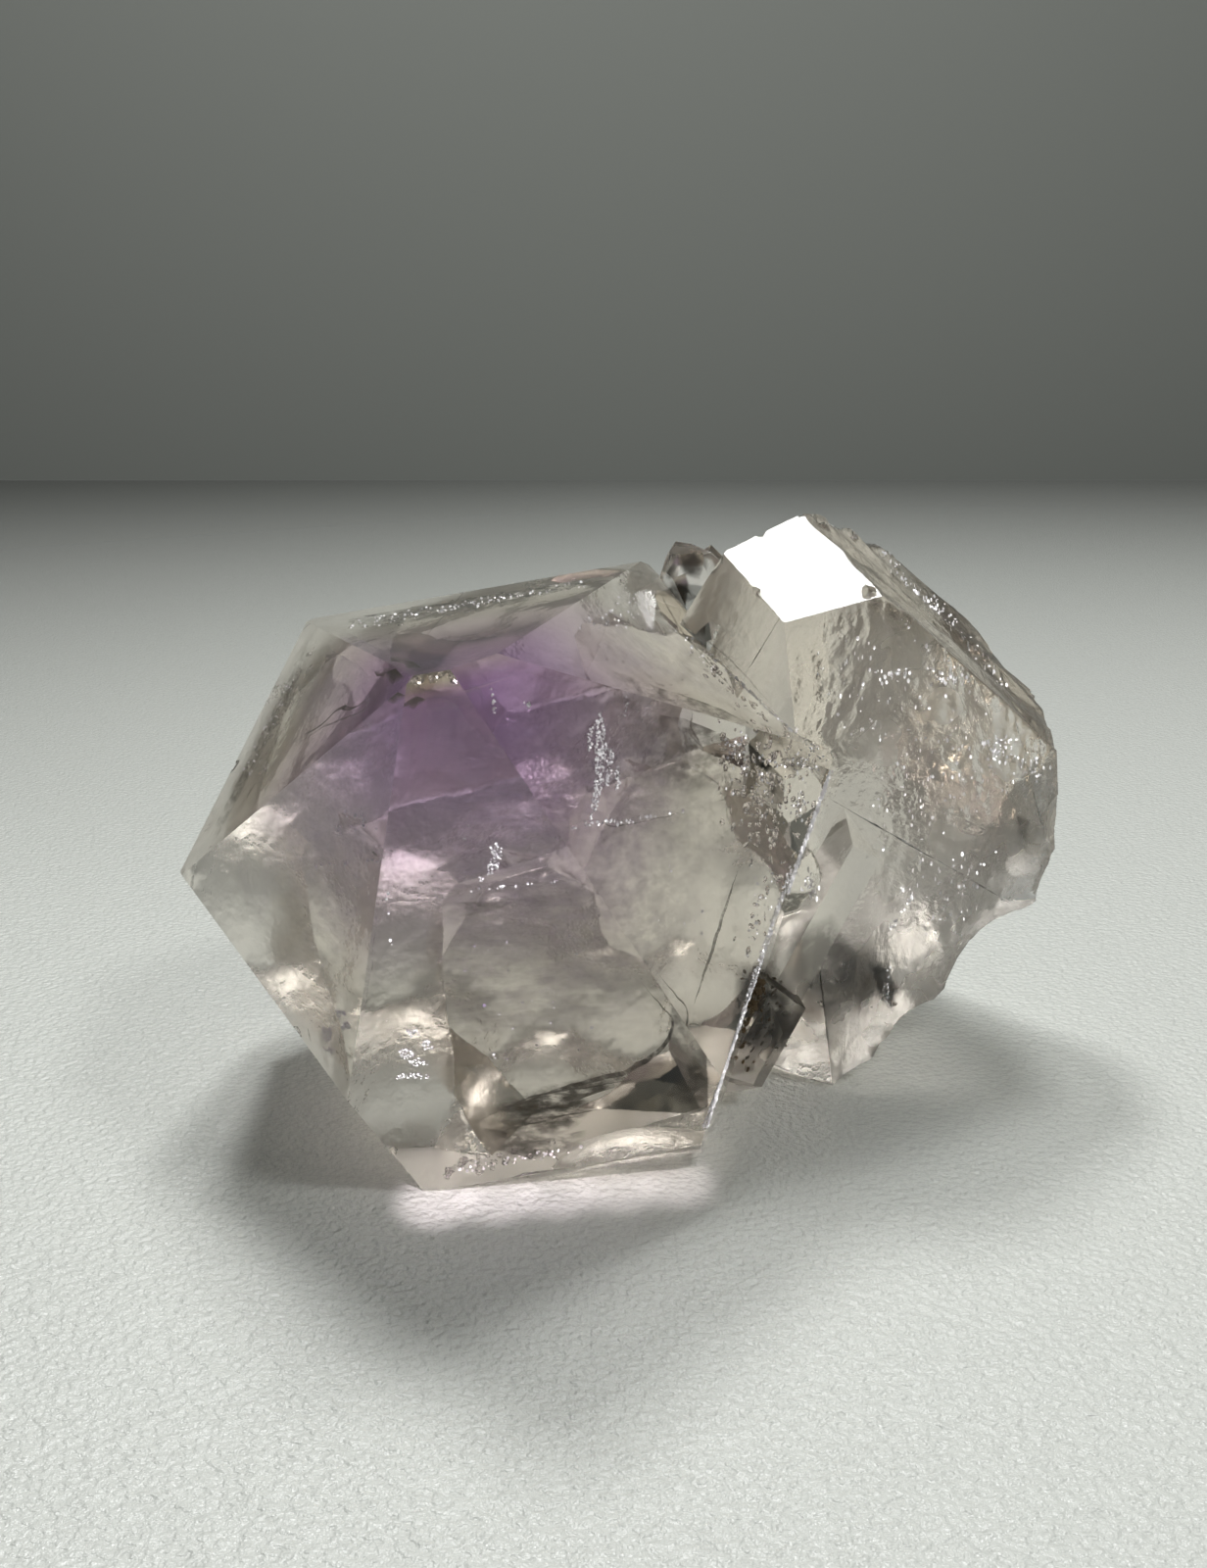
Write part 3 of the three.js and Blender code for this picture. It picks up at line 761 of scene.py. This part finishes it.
def sheet_piece(name, sight, shapes, material, height=0.3):
    """One piece of wandering sheets, which rise and fall by a height in mm."""
    sheets = Sheets(sight)
    for outline, depth, strength in shapes:
        sheets.add(outline, depth, strength, soft=True)
    values = {"Level": 4, "Wave": 1 / (2.0 * MM), "Height": height * MM, "Finish": material}
    node_piece(sheets.built(name + "_rough"), veil_tree(), values, name)


class SPECIMEN_OT_veils(Operator):
    """Makes the pale veils and the silky haze in the big point."""
    bl_idname = "specimen.veils"
    bl_label = "Veils and silk"

    def execute(self, context):
        settings = context.scene.inclusions
        sight = Sight(context.scene.stone.ior)
        # Fluid inclusions are tiny bubbles on a healed crack: a pale, matt, broken film
        haze = sheet_material("Veil of fluid inclusions", "#e6dce4", settings.haze_cover, grain=1.6,
                              shows=(0.3, 0.65), stretch=(1.0, 1.0, 0.35))
        sheet_piece("veils", sight, HAZE, haze)
        # Silk is finer and drawn out along the crystal
        silk = sheet_material("Silky veil", "#d8ccd6", settings.silk_cover, grain=0.7, shows=(0.4, 0.7),
                              stretch=(0.35, 1.0, 1.3))
        sheet_piece("silk", sight, STREAKS, silk, height=0.8)
        return {"FINISHED"}


class SPECIMEN_OT_smoke(Operator):
    """Makes the brown smoky patches and threads, and the brown patches that are partly painted shade."""
    bl_idname = "specimen.smoke"
    bl_label = "Smoke and wisps"

    def execute(self, context):
        settings = context.scene.inclusions
        sight = Sight(context.scene.stone.ior)
        # Smoke and rust are dull brown stains on cracks, in patches with clear stone between; at the
        # crystals' junction and the grey crystal's lower corner the brown is partly painted shade
        smoke = sheet_material("Smoky inclusion", "#55462c", settings.smoke_cover, grain=1.1,
                               shows=(0.35, 0.62), roughness=0.9, stretch=(1.0, 1.0, 2.0))
        sheet_piece("smoke", sight, SMOKE, smoke)
        rust = sheet_material("Rust-brown inclusion", "#453416", settings.rust_and_shade_cover, grain=1.0,
                              shows=(0.2, 0.5), roughness=0.9)
        sheet_piece("brown_patches", sight, BROWN_AND_SHADE, rust)
        dark = sheet_material("Smoky thread", "#574a36", settings.wisp_cover, grain=0.5, shows=(0.3, 0.6),
                              roughness=0.9)
        values = {"Width": settings.wisp_width, "Flatness": 0.25, "Wave": 1 / (1.5 * MM), "Height": 0.4 * MM,
                  "Steps": 70, "Finish": dark}
        node_piece(threads("wisps_rough", sight, WISPS), wisp_tree(), values, "wisps")
        return {"FINISHED"}


# Each piece of flakes: its outlines, how dense it is, its material, the smallest and largest half sizes,
# how far the flakes lean and lie off the sheet (sizes in mm), its seed and what else is its own
FLAKES = {
    "feathers": dict(shapes=FEATHERS, density=10, material="bruise", smallest=(0.03, 0.03, 0.01),
                     largest=(0.08, 0.14, 0.02), loose=0.1, spread=0.03, seed=0, facing=CHIP_GLINT),
    "sparks": dict(shapes=SPARKS, density=4, material="bruise", smallest=(0.03, 0.03, 0.01),
                   largest=(0.1, 0.12, 0.02), loose=0.2, spread=0.03, seed=1),
    "glitter": dict(shapes=GLITTER, density=5, material="bruise", smallest=(0.02, 0.04, 0.01),
                    largest=(0.1, 0.19, 0.02), loose=0.15, spread=0.05, seed=2),
    "chips": dict(shapes=[(outline, 0.0, 1.0) for outline in CHIPS], density=16, material="bruise",
                  smallest=(0.035, 0.035, 0.01), largest=(0.08, 0.1, 0.02), loose=0.03, spread=0.02, seed=4,
                  facing=CHIP_GLINT, soft=False),
    "clusters": dict(shapes=BUBBLE_PATCHES, density=1, material="gas", smallest=(0.05, 0.05, 0.04),
                     largest=(0.3, 0.35, 0.2), loose=1.5, spread=0.4, seed=5, round_ones=True),
    # The rusty bits are partly painted shade at the crystals' junction and the grey crystal's lower corner
    "crust": dict(shapes=CRUST_AND_SHADE, density=0.8, material="rust", smallest=(0.06, 0.06, 0.03),
                  largest=(0.25, 0.3, 0.1), loose=1.0, spread=0.3, seed=3, round_ones=True),
}


def flake_piece(name, sight, settings, finish, shapes, density, smallest, largest, loose, spread, seed,
                facing=GLINT, soft=True, round_ones=False):
    """One piece of scattered flakes."""
    sheets = Sheets(sight)
    for outline, depth, strength in shapes:
        sheets.add(outline, depth, strength, soft)
    values = {
        "Density": settings.flake_density * density,
        "Smallest": tuple(part * MM for part in smallest),
        "Largest": tuple(part * MM for part in largest),
        "Facing": tuple(facing),
        "Loose": loose,
        "Spread": spread * MM,
        "Seed": settings.seed + seed,
        "Round": round_ones,
        "Finish": finish,
    }
    node_piece(sheets.built(name + "_rough"), flake_tree(), values, name)


class SPECIMEN_OT_flakes(Operator):
    """Makes the feathered cracks, the chips, the glints, the bubble clusters and the rusty crust, which is
    partly painted shade at the crystals' junction.
    """
    bl_idname = "specimen.flakes"
    bl_label = "Feathers, chips, clusters and crust"

    def execute(self, context):
        settings = context.scene.inclusions
        sight = Sight(context.scene.stone.ior)
        pale = {"Base Color": linear("#fdfafc")}
        finishes = {
            # Crushed quartz is white, and its tiny faces half mirror the light
            "bruise": plain_material("Bruised quartz", {**pale, "Metallic": 0.5, "Roughness": 0.3}),
            # A bubble in quartz looks clear with a bright or dark rim
            "gas": plain_material("Bubble wall", {**pale, "Metallic": 0.0, "Roughness": 0.05,
                                                  "Transmission Weight": 1.0, "IOR": 1.33}),
            # Iron stain is earthy and matt; at the crystals' junction and the grey crystal's lower corner
            # these bits are partly painted shade
            "rust": plain_material("Iron-stained crust", {"Base Color": linear("#54432a"), "Roughness": 0.8}),
        }
        for name, values in FLAKES.items():
            own = {label: value for label, value in values.items() if label != "material"}
            flake_piece(name, sight, settings, finishes[values["material"]], **own)
        return {"FINISHED"}


# Purple growth zones

# The big point's axis: how far it rises, which way it heads and how it is turned on itself, and the
# angle from a quartz tip face's outward way to the axis, all in degrees
POINT_RISE = 37
POINT_HEADING = -95
POINT_SPIN = -18
TIP_FACE_POLAR = 51.8


def point_directions():
    """The big point's long axis and the outward directions of its six tip faces."""
    rise, heading = math.radians(POINT_RISE), math.radians(POINT_HEADING)
    axis = Vector((math.cos(rise) * math.cos(heading), math.cos(rise) * math.sin(heading), math.sin(rise)))
    side = Vector((0, 0, 1)).cross(axis).normalized()
    up = axis.cross(side)
    polar = math.radians(TIP_FACE_POLAR)
    tips = []
    for i in range(6):
        turn = math.radians(POINT_SPIN + 60 * i)
        outward = side * math.cos(turn) + up * math.sin(turn)
        tips.append(outward * math.sin(polar) + axis * math.cos(polar))
    return axis, tips


def tip_planes():
    """How far out each tip face of the big point lies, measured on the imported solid."""
    stone = merged_stone()
    axis, tips = point_directions()
    planes = []
    for tip in tips:
        reach = [face.calc_center_median().dot(tip) for face in stone.faces
                 if face.normal.dot(tip) > 0.9999 and face.calc_area() > 0.5 * MM * MM]
        planes.append((tip, max(reach)))
    stone.free()
    return axis, planes


def solve_apex(planes):
    """The point nearest to all the tip faces, about where they meet."""
    normals = np.array([normal for normal, distance in planes])
    distances = np.array([distance for normal, distance in planes])
    return Vector(np.linalg.lstsq(normals, distances, rcond=None)[0])


def block_within(name, planes):
    """The closed solid inside a set of planes; each is an outward direction and a distance."""
    block = bmesh.new()
    bmesh.ops.create_cube(block, size=200 * MM)
    for normal, distance in planes:
        everything = [*block.verts, *block.edges, *block.faces]
        bmesh.ops.bisect_plane(block, geom=everything, plane_co=normal * distance, plane_no=normal,
                               clear_outer=True)
        open_edges = [edge for edge in block.edges if edge.is_boundary]
        bmesh.ops.holes_fill(block, edges=open_edges, sides=0)
    bmesh.ops.recalc_face_normals(block, faces=block.faces)
    return bmesh_object(name, block)


def zone_material(name, *volumes):
    """A growth zone: it bends no light and only tints or scatters, so no face of it shows.

    Each volume is a kind of node, its colour, its density per metre and, for scattering, how much goes on.
    """
    material, tree = new_material(name)
    inside = None
    for kind, colour, density, *onward in volumes:
        values = {"Color": opaque(colour), "Density": density}
        if onward:
            values["Anisotropy"] = onward[0]
        volume = add_node(tree, kind, values)
        inside = add_node(tree, "ShaderNodeAddShader", {0: inside, 1: volume}) if inside else volume
    clear = add_node(tree, "ShaderNodeBsdfTransparent")
    add_node(tree, "ShaderNodeOutputMaterial", {"Surface": clear, "Volume": inside})
    return material


# The cloudy part of the grey crystal: outward ways of its walls and how far out they lie in mm
GREY_CLOUD = (
    ((0.38, -0.923, -0.068), 5.0),
    ((-0.601, -0.775, -0.195), -5.5),
    ((0.207, -0.807, 0.553), 20.0),
    ((0.69, -0.22, 0.68), 28.0),
    ((0.0, 1.0, 0.0), 8.0),
    ((0.0, 0.64, 0.77), 23.0),
    ((1.0, 0.0, 0.0), 20.5),
    ((-1.0, 0.0, 0.0), -9.0),
    ((0.75, 0.0, -0.66), 5.5),
    ((0.0, 0.0, -1.0), -4.0),
)


class ZoneSettings(PropertyGroup):
    """The purple growth zones and the clouds in the two big crystals."""
    colour: FloatVectorProperty(name="Purple", description="What the zones let through", subtype="COLOR",
                                default=(0.55, 0.13, 0.95))
    density: FloatProperty(name="Density", description="Absorption per metre of each zone", default=50.0)
    cloud: FloatProperty(name="Cloud", description="Scattering per metre in the big point", default=30.0)
    smoky: FloatProperty(name="Smoky", description="Absorption per metre of that cloud", default=22.0)
    grey: FloatProperty(name="Grey cloud", description="Scattering per metre in the grey crystal",
                        default=55.0)
    count: IntProperty(name="Zones", description="How many zones lie in one another", default=3)
    first_depth: FloatProperty(name="First depth", description="Depth of the innermost zone along the axis",
                               subtype="DISTANCE", default=5.0 * MM)
    step: FloatProperty(name="Step", description="How much deeper each further zone reaches",
                        subtype="DISTANCE", default=4.5 * MM)
    skin: FloatProperty(name="Skin", description="Least clear stone outside the zones",
                        subtype="DISTANCE", default=0.5 * MM)
    skin_step: FloatProperty(name="Skin step", description="How much further in each inner zone starts",
                             subtype="DISTANCE", default=0.45 * MM)
    cloud_skin: FloatProperty(name="Cloud skin", description="Clear stone outside the cloud",
                              subtype="DISTANCE", default=1.4 * MM)
    cloud_depth: FloatProperty(name="Cloud depth", description="How deep the cloud reaches along the axis",
                               subtype="DISTANCE", default=17.5 * MM)


class SPECIMEN_OT_zones(Operator):
    """Makes the purple growth zones, one inside the other, and the clouds of tiny inclusions."""
    bl_idname = "specimen.zones"
    bl_label = "Purple zones and clouds"

    def execute(self, context):
        settings = context.scene.zones
        axis, planes = tip_planes()
        apex = solve_apex(planes)

        def under_tips(name, inset, depth, material):
            """A zone a little under the tip faces and down to a depth along the axis."""
            walls = [(normal, distance - inset) for normal, distance in planes]
            walls.append((-axis, depth - apex.dot(axis)))
            zone = block_within(name, walls)
            zone.data.materials.append(material)
            finish_piece(zone)

        # Iron in the growth zones takes up yellow and green light, so long paths turn purple
        purple = zone_material("Amethyst colour zone",
                               ("ShaderNodeVolumeAbsorption", settings.colour, settings.density))
        for i in range(settings.count):
            under_tips(f"purple_zone_{i + 1}", settings.skin + settings.skin_step * (settings.count - i),
                       settings.first_depth + settings.step * i, purple)
        # Inclusions too small to see scatter the light, and the stone round them is smoky
        milky = zone_material("Cloud of tiny inclusions",
                              ("ShaderNodeVolumeScatter", (1.0, 0.96, 0.94), settings.cloud, 0.5),
                              ("ShaderNodeVolumeAbsorption", (0.72, 0.69, 0.62), settings.smoky))
        under_tips("cloud_zone", settings.cloud_skin, settings.cloud_depth, milky)
        grey = block_within("grey_cloud_zone",
                            [(Vector(way).normalized(), reach * MM) for way, reach in GREY_CLOUD])
        grey.data.materials.append(zone_material(
            "Smoky cloud of tiny inclusions",
            ("ShaderNodeVolumeScatter", (0.985, 0.965, 0.93), settings.grey, 0.3)))
        finish_piece(grey)
        return {"FINISHED"}


# The stage

class StageSettings(PropertyGroup):
    """Floor, backdrop and lights."""
    floor_colour: FloatVectorProperty(name="Floor colour", description="Pale table", subtype="COLOR",
                                      default=linear("#ebeee8")[:3])
    key_power: FloatProperty(name="Lamp", description="Lamp behind, above and to the left", default=2.5)
    top_power: FloatProperty(name="Ceiling", description="Wide light overhead", default=2.2)
    mirror_power: FloatProperty(name="Mirror light", description="Overhead light", default=0.35)
    glow_power: FloatProperty(name="Glow light", description="Light that reaches the table through the point",
                              default=0.8)
    # Painted shade: how far back the table's colour has halved, and how much sooner it darkens at the far
    # left
    fade: FloatProperty(name="Fade", description="How far back the table's light has halved",
                        subtype="DISTANCE", default=310 * MM)
    painted_left_fade: FloatProperty(name="Left fade", description="How much sooner the far left darkens",
                             default=1.0)
    gap: FloatProperty(name="Gap", description="How far the floor is below the stone", subtype="DISTANCE",
                       default=0.1 * MM)
    ambient: FloatProperty(name="Ambient", description="Soft light from all round", default=0.16)


# The table's pebbles in noise cells per metre, and how high they stand
PEBBLE_CELLS = 2500.0
PEBBLE_HEIGHT = 0.3 * MM
# The back wall and the table in metres: how far back it stands, half its width, and its height
WALL_DISTANCE, HALF_WIDTH, WALL_HEIGHT = 0.6, 4.0, 2.4
# Square lights: the way they lie in, their distance and width in metres, and the setting of their power
LIGHTS = (
    ("lamp", (-0.181, 0.389, 0.904), 0.8, 0.14, "key_power"),
    ("ceiling", (0.08, 0.29, 0.955), 0.8, 0.18, "top_power"),
    ("mirror_light", (0.474, -0.358, 0.79), 0.45, 0.07, "mirror_power"),
)
LIGHT_TARGET = Vector((0, 0, 15 * MM))
# The row of beams that makes the pale patch on the table at the stone's front edge
GLOW_COUNT = 5
GLOW_ENDS = (Vector((-10.8, -14.6, 0.0)) * MM, Vector((1.4, -12.8, 0.0)) * MM)
GLOW_WAY = Vector((0.05, -0.62, 0.78)).normalized()
GLOW_DISTANCE = 150 * MM
GLOW_FALL = 0.12


def floor_material(settings):
    """A painted table: pale, finely pebbled, half matt, with painted shade that darkens its colour towards
    the back and the far left.
    """
    material, tree = new_material("Painted table")
    place = add_node(tree, "ShaderNodeTexCoord").outputs["Object"]
    pebbles = add_node(tree, "ShaderNodeTexNoise", {"Scale": PEBBLE_CELLS, "Detail": 2.5, "Vector": place})
    bump = add_node(tree, "ShaderNodeBump", {"Strength": 1.0, "Distance": PEBBLE_HEIGHT, "Height": pebbles})
    # Painted shade: the base colour is dimmed with distance towards the back, and sooner at the far left
    axes = add_node(tree, "ShaderNodeSeparateXYZ", {0: place})
    left = add_node(tree, "ShaderNodeMath", {0: axes.outputs["X"], 1: -1.0}, operation="MULTIPLY")
    corner = add_node(tree, "ShaderNodeMath", {0: left, 1: axes.outputs["Y"]}, operation="MINIMUM")
    left_shade_reach = add_node(tree, "ShaderNodeMath", {0: corner, 1: 0.0}, operation="MAXIMUM")
    back = add_node(tree, "ShaderNodeMath", {0: axes.outputs["Y"], 1: 0.0}, operation="MAXIMUM")
    both = add_node(tree, "ShaderNodeMath", {0: left_shade_reach, 1: settings.painted_left_fade, 2: back},
                    operation="MULTIPLY_ADD")
    share = add_node(tree, "ShaderNodeMath", {0: both, 1: settings.fade}, operation="DIVIDE")
    square = add_node(tree, "ShaderNodeMath", {0: share, 1: 2.0}, operation="POWER")
    more = add_node(tree, "ShaderNodeMath", {0: square, 1: 1.0}, operation="ADD")
    painted_shade_share = add_node(tree, "ShaderNodeMath", {0: 1.0, 1: more}, operation="DIVIDE")
    colour = add_node(tree, "ShaderNodeMix", {"A": (0, 0, 0, 1), "B": opaque(settings.floor_colour),
                       "Factor": painted_shade_share}, data_type="RGBA")
    shader = add_node(tree, "ShaderNodeBsdfPrincipled", {"Roughness": 0.25,
                      "Base Color": colour.outputs["Result"], "Normal": bump})
    add_node(tree, "ShaderNodeOutputMaterial", {"Surface": shader})
    return material


def add_light(name, kind, power, centre, direction, distance):
    """A light that looks at a centre from a direction."""
    light = bpy.data.lights.new(name, kind)
    light.energy = power
    made = link_object(name, light)
    made.location = centre + direction * distance
    made.rotation_euler = direction.to_track_quat("Z", "Y").to_euler()
    return light


def add_lights(settings):
    """The square lights round the stone and the row of beams at its front edge."""
    for name, direction, distance, width, power in LIGHTS:
        light = add_light(name, "AREA", getattr(settings, power), LIGHT_TARGET,
                          Vector(direction).normalized(), distance)
        light.shape = "RECTANGLE"
        light.size = light.size_y = width
    for i in range(GLOW_COUNT):
        light = add_light(f"glow_light_{i + 1}", "SPOT", settings.glow_power * (1 - GLOW_FALL * i),
                          GLOW_ENDS[0].lerp(GLOW_ENDS[1], i / (GLOW_COUNT - 1)), GLOW_WAY, GLOW_DISTANCE)
        light.spot_size = math.radians(2.0)
        light.spot_blend = 1.0
        light.shadow_soft_size = 0.5 * MM
        light.color = linear("#ffeff8")[:3]


def add_camera():
    """The camera at the photo's viewing angle."""
    camera = bpy.data.cameras.new("camera")
    camera.sensor_width = SENSOR
    camera.lens = SENSOR * FOCAL_PIXELS / PHOTO_SIZE[1]
    camera.clip_start = 1 * MM
    made = link_object("camera", camera)
    made.location = CAMERA_PLACE
    made.rotation_euler = (math.pi / 2 - CAMERA_PITCH, 0, 0)
    bpy.context.scene.camera = made


class SPECIMEN_OT_stage(Operator):
    """Sets the pale floor, the dark backdrop, the lights and the camera."""
    bl_idname = "specimen.stage"
    bl_label = "Stage"

    def execute(self, context):
        settings = context.scene.stage
        wide, far, low = HALF_WIDTH, WALL_DISTANCE, -settings.gap
        floor = mesh_object("floor", [(-wide, -wide, low), (wide, -wide, low),
                                      (wide, far, low), (-wide, far, low)], [(0, 1, 2, 3)])
        floor.data.materials.append(floor_material(settings))
        wall = mesh_object("backdrop", [(-wide, far, 0), (wide, far, 0), (wide, far, WALL_HEIGHT),
                                        (-wide, far, WALL_HEIGHT)], [(0, 1, 2, 3)])
        # A plain, matt, grey-green wall
        wall.data.materials.append(plain_material("Matt wall", {"Base Color": linear("#969994"),
                                                                "Roughness": 0.9}))
        add_lights(settings)
        world = bpy.data.worlds.new("room")
        world.use_nodes = True
        background = world.node_tree.nodes["Background"].inputs
        background["Color"].default_value = linear("#dfe4e0")
        background["Strength"].default_value = settings.ambient
        context.scene.world = world
        context.scene.view_settings.view_transform = "Standard"
        # Light has to cross many films and bend at many faces, and the clouds only look bright when
        # it scatters in them more than once
        cycles = context.scene.cycles
        cycles.max_bounces = 12
        cycles.transmission_bounces = 12
        cycles.transparent_max_bounces = 32
        cycles.volume_bounces = 3
        cycles.sample_clamp_indirect = 20
        add_camera()
        return {"FINISHED"}


class SPECIMEN_PT_panel(Panel):
    """Lists what the specimen is made of."""
    bl_label = "Amethyst"
    bl_space_type = "VIEW_3D"
    bl_region_type = "UI"
    bl_category = "Amethyst"

    def draw(self, context):
        for operator in OPERATORS:
            self.layout.operator(operator.bl_idname)
        for group in GROUPS:
            settings = getattr(context.scene, group)
            for name in settings.__annotations__:
                self.layout.prop(settings, name)


GROUPS = {
    "stone": StoneSettings,
    "zones": ZoneSettings,
    "inclusions": InclusionSettings,
    "stage": StageSettings,
}
OPERATORS = (SPECIMEN_OT_stone, SPECIMEN_OT_zones, SPECIMEN_OT_veils, SPECIMEN_OT_smoke,
             SPECIMEN_OT_flakes, SPECIMEN_OT_stage)


def register():
    for group in GROUPS.values():
        bpy.utils.register_class(group)
    for name, group in GROUPS.items():
        setattr(bpy.types.Scene, name, PointerProperty(type=group))
    for item in (*OPERATORS, SPECIMEN_PT_panel):
        bpy.utils.register_class(item)


def unregister():
    for item in (SPECIMEN_PT_panel, *reversed(OPERATORS)):
        bpy.utils.unregister_class(item)
    for name, group in GROUPS.items():
        delattr(bpy.types.Scene, name)
        bpy.utils.unregister_class(group)


def main():
    register()
    bpy.ops.specimen.stone()
    bpy.ops.specimen.zones()
    bpy.ops.specimen.veils()
    bpy.ops.specimen.smoke()
    bpy.ops.specimen.flakes()
    bpy.ops.specimen.stage()


if __name__ == "__main__":
    main()
